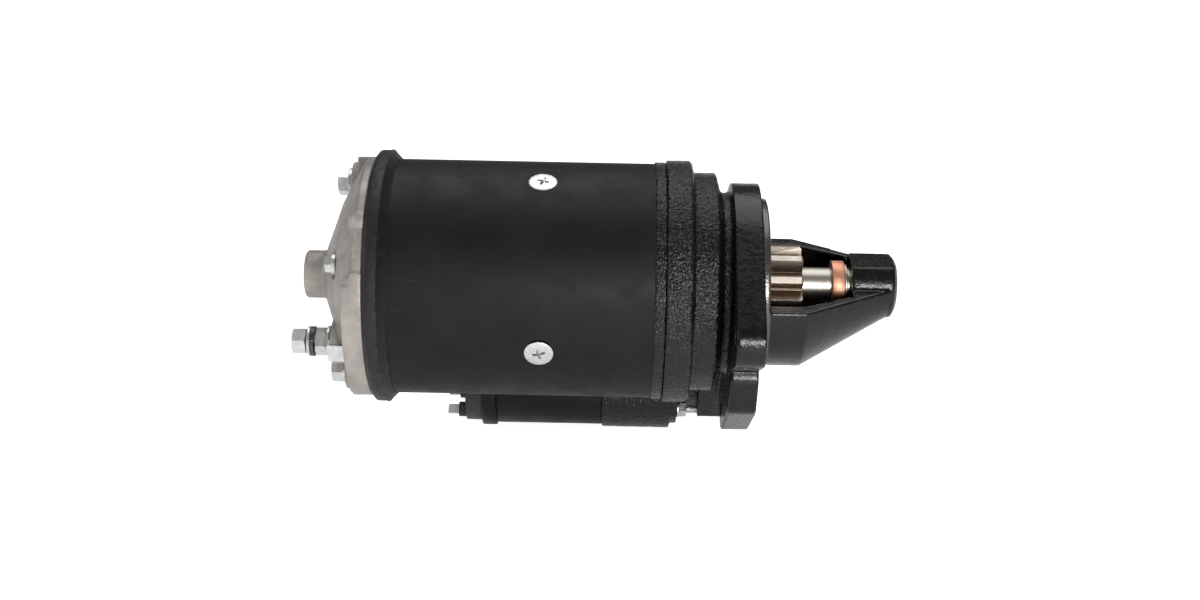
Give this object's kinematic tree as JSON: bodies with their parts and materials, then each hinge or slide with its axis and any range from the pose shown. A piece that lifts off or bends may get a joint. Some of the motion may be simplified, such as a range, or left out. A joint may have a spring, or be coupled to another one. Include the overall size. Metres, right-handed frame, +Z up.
{
  "type": "starter motor",
  "caption": "Pre-engaged starter motor: field-coil motor in a tubular yoke, cast flange with an open pinion nose, solenoid alongside, fork lever and sliding roller-clutch pinion.",
  "frame": {"origin": "on the shaft axis in the plane of the flange's mounting face", "axes": "+X along the shaft towards the pinion nose, +Z up with the two side ears level, the solenoid below and behind on the +Y side"},
  "size_m": [0.3221, 0.168, 0.182],
  "materials": {
    "casting_black": "black paint over a rough sand casting",
    "yoke_black": "smooth satin black paint",
    "alloy": "bare die-cast alloy",
    "seal_rubber": "matt black rubber",
    "zinc": "bright zinc plate",
    "steel": "ground bright steel",
    "pinion_steel": "case-hardened steel with a brown tint",
    "copper": "bare copper",
    "bronze": "sintered bronze",
    "lamination": "stacked steel laminations",
    "enamel": "varnished copper winding",
    "moulding": "black phenolic moulding",
    "carbon": "pressed carbon and copper",
    "solenoid_paint": "satin black paint",
    "bobbin_plastic": "natural nylon"
  },
  "bodies": {
    "housing": {"drive_end_bracket": "casting_black", "nose_bush": "bronze", "intermediate_bracket": "casting_black", "intermediate_bush": "bronze", "yoke": "yoke_black", "yoke_seal_ring": "seal_rubber", "pole_shoes": "lamination", "pole_screws": "zinc", "field_coils": "enamel", "field_links": "copper", "field_grommet": "seal_rubber", "motor_link": "copper", "commutator_end_bracket": "alloy", "commutator_end_bush": "bronze", "through_bolts": "zinc", "brush_plate": "zinc", "brush_plate_screws": "zinc", "cover_washers": "zinc", "brush_holders": "zinc", "brush_springs": "steel", "terminal_stud": "zinc", "terminal_nuts": "zinc", "terminal_insulator": "moulding", "terminal_tab": "zinc", "lever_pivot_pin": "steel", "solenoid_case": "solenoid_paint", "solenoid_front_housing": "casting_black", "solenoid_clamp_ring": "solenoid_paint", "solenoid_cap": "moulding", "spade_terminals": "zinc", "solenoid_power_studs": "copper", "solenoid_fixings": "zinc", "solenoid_bobbin": "bobbin_plastic", "solenoid_winding": "enamel", "solenoid_core": "steel", "plunger_spring": "steel", "plunger_boot": "seal_rubber"},
    "armature": {"armature_shaft": "steel", "armature_core": "lamination", "armature_winding": "enamel", "commutator": "copper", "commutator_hub": "moulding", "thrust_collar": "copper", "retaining_ring": "steel"},
    "clutch": {"drive_sleeve": "steel", "operating_collar": "steel", "collar_spring": "steel", "clutch_shell": "steel", "clutch_cover": "zinc", "clutch_rollers": "steel"},
    "pinion": {"pinion": "pinion_steel"},
    "lever": {"engaging_lever": "casting_black"},
    "plunger": {"plunger": "steel", "plunger_link": "steel"},
    "contact": {"contact_plate": "copper", "contact_rod": "steel"},
    "brush_one": {"brush_1": "carbon"},
    "brush_two": {"brush_2": "carbon"},
    "brush_three": {"brush_3": "carbon"},
    "brush_four": {"brush_4": "carbon"}
  },
  "joints": [
    {"name": "armature_spin", "type": "hinge", "parent": "housing", "child": "armature", "pos_m": [0, 0, 0], "axis": [1, 0, 0], "continuous": true},
    {"name": "drive_slide", "type": "slide", "parent": "armature", "child": "clutch", "axis": [1, 0, 0], "range_m": [0, 0.0155]},
    {"name": "pinion_overrun", "type": "hinge", "parent": "clutch", "child": "pinion", "pos_m": [0, 0, 0], "axis": [1, 0, 0], "continuous": true},
    {"name": "lever_swing", "type": "hinge", "parent": "housing", "child": "lever", "pos_m": [-0.0253, 0.02537, -0.04653], "axis": [0, 0.878, 0.4787], "range_deg": [0, 16.24]},
    {"name": "plunger_slide", "type": "slide", "parent": "housing", "child": "plunger", "axis": [-1, 0, 0], "range_m": [0, 0.01226], "deforming": ["plunger_spring"]},
    {"name": "contact_slide", "type": "slide", "parent": "housing", "child": "contact", "axis": [-1, 0, 0], "range_m": [0, 0.0023]},
    {"name": "brush_one_slide", "type": "slide", "parent": "housing", "child": "brush_one", "axis": [0, 0.9799, 0.1994], "range_m": [0, 0.0035], "deforming": ["brush_springs"]},
    {"name": "brush_two_slide", "type": "slide", "parent": "housing", "child": "brush_two", "axis": [0, -0.1994, 0.9799], "range_m": [0, 0.0035], "deforming": ["brush_springs"]},
    {"name": "brush_three_slide", "type": "slide", "parent": "housing", "child": "brush_three", "axis": [0, -0.9799, -0.1994], "range_m": [0, 0.0035], "deforming": ["brush_springs"]},
    {"name": "brush_four_slide", "type": "slide", "parent": "housing", "child": "brush_four", "axis": [0, 0.1994, -0.9799], "range_m": [0, 0.0035], "deforming": ["brush_springs"]}
  ],
  "couplings": [
    {"joint": "lever_swing", "follows": "drive_slide", "rad_per_m": 18.277},
    {"joint": "plunger_slide", "follows": "drive_slide", "ratio": 0.79075},
    {"joint": "contact_slide", "follows": "drive_slide", "ratio": 0.14839}
  ]
}
